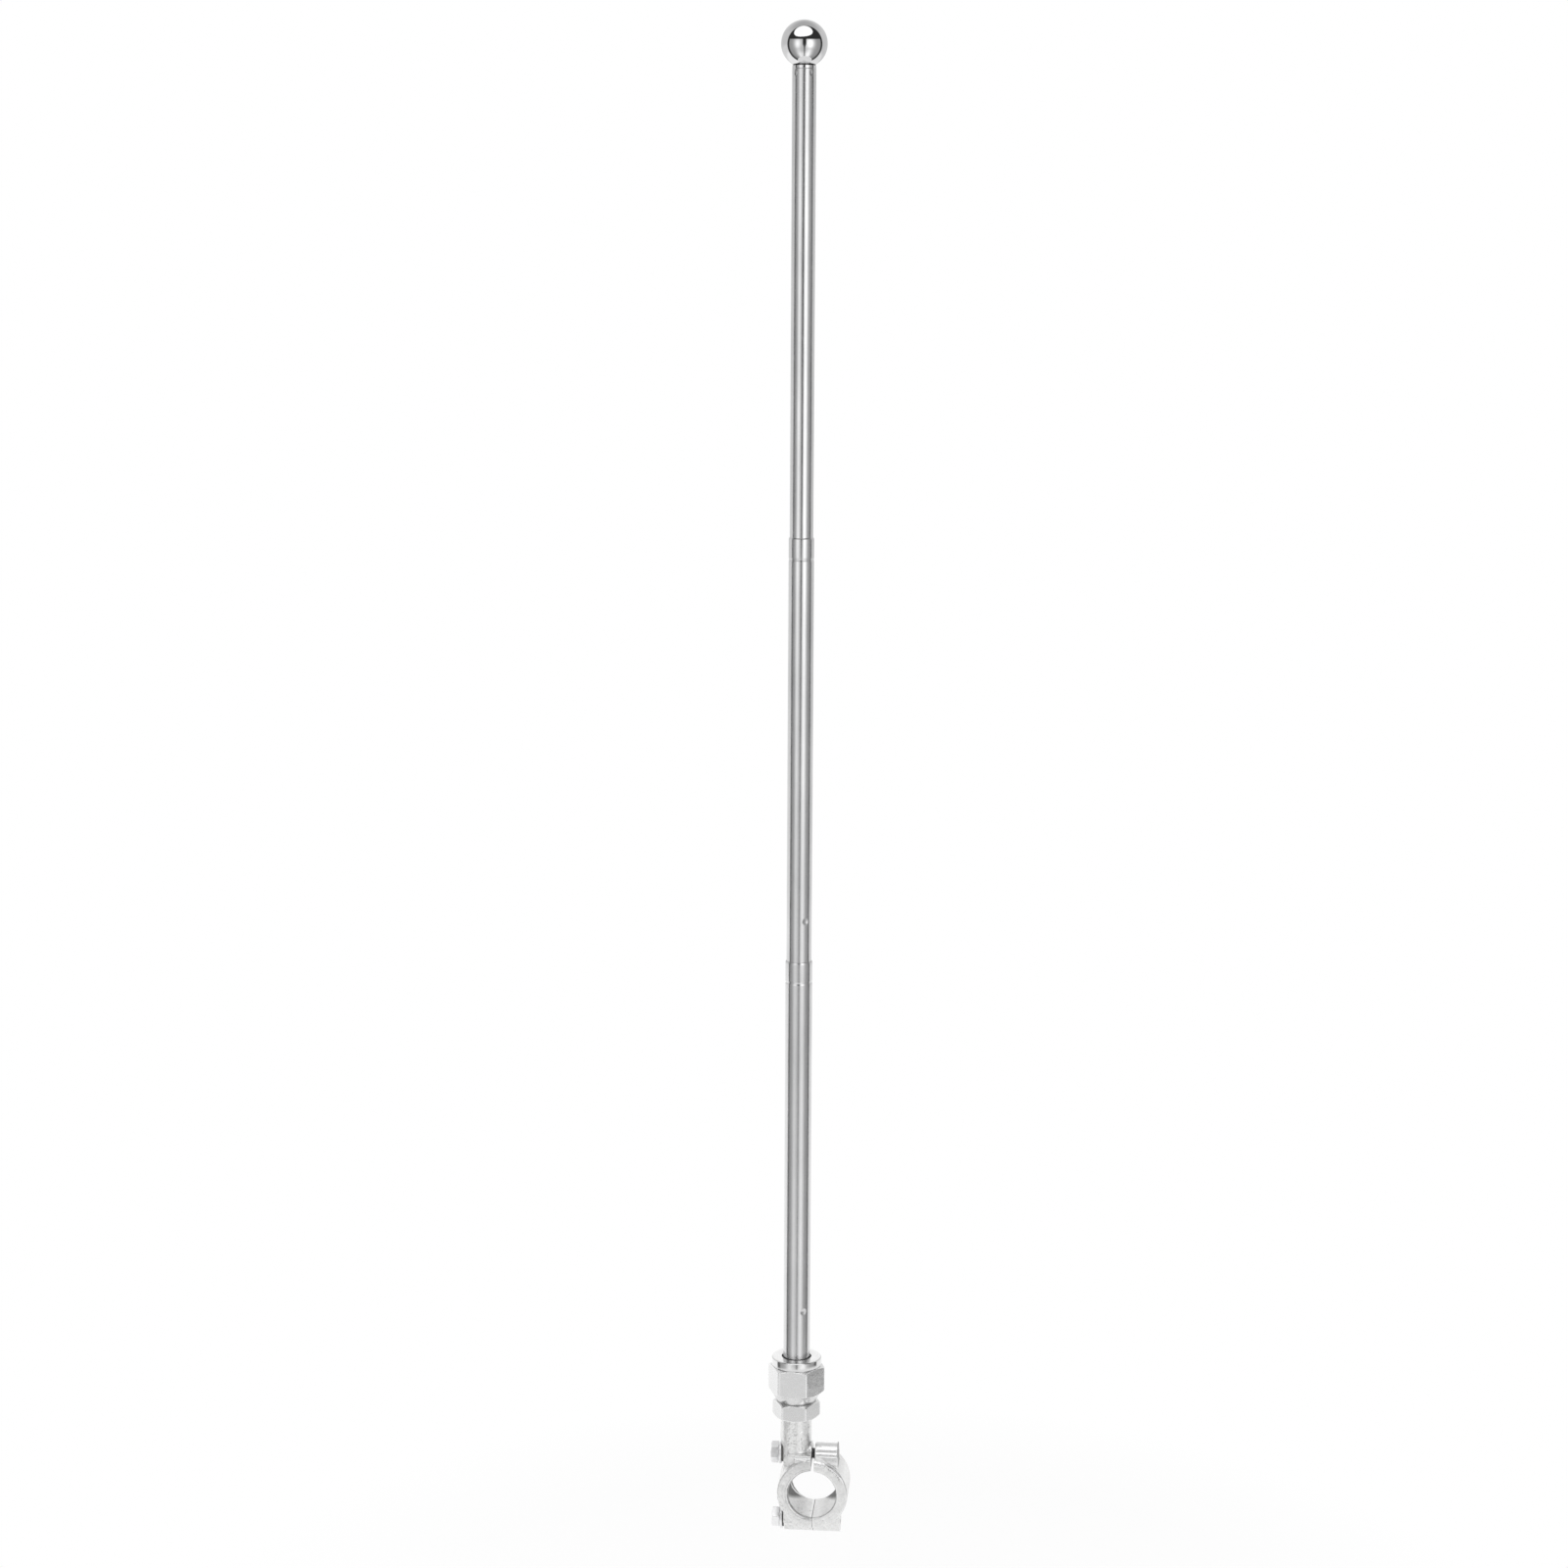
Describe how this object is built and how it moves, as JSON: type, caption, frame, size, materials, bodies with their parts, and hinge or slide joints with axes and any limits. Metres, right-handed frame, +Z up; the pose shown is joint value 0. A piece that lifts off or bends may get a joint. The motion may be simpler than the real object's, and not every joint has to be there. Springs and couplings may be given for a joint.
{
  "type": "telescopic rail-mount flagpole",
  "caption": "Small telescopic flagpole of polished steel tubes with a ball finial, screwed by a hex coupling to a two-piece bolted clamp for a round rail.",
  "frame": {"origin": "centre of the clamp's rail bore, on its axis", "axes": "+X across the clamp from the half with the stub to the loose half, +Y along the rail away from the viewer, +Z up the pole"},
  "size_m": [0.0435, 0.0276, 0.7814],
  "materials": {
    "cast_steel": "investment cast stainless steel, tumbled bright, with a pitted skin",
    "bolt_steel": "plain bright stainless steel",
    "turned_steel": "turned and satin milled stainless steel",
    "polished_tube": "mirror polished stainless tube with fine drawing lines",
    "polished_ball": "mirror polished stainless steel"
  },
  "bodies": {
    "base": {"clamp_stub_half": "cast_steel", "clamp_loose_half": "cast_steel", "upper_bolt": "bolt_steel", "upper_lock_washer": "bolt_steel", "upper_flat_washer": "bolt_steel", "lower_bolt": "bolt_steel", "lower_lock_washer": "bolt_steel", "lower_flat_washer": "bolt_steel", "jam_nut": "turned_steel", "pole_coupling": "turned_steel", "lower_tube": "polished_tube"},
    "middle_section": {"middle_tube": "polished_tube"},
    "upper_section": {"upper_tube": "polished_tube", "ball_finial": "polished_ball"}
  },
  "joints": [
    {"name": "middle_slide", "type": "slide", "parent": "base", "child": "middle_section", "axis": [0, 0, -1], "range_m": [0, 0.16]},
    {"name": "upper_slide", "type": "slide", "parent": "middle_section", "child": "upper_section", "axis": [0, 0, -1], "range_m": [0, 0.17]}
  ]
}
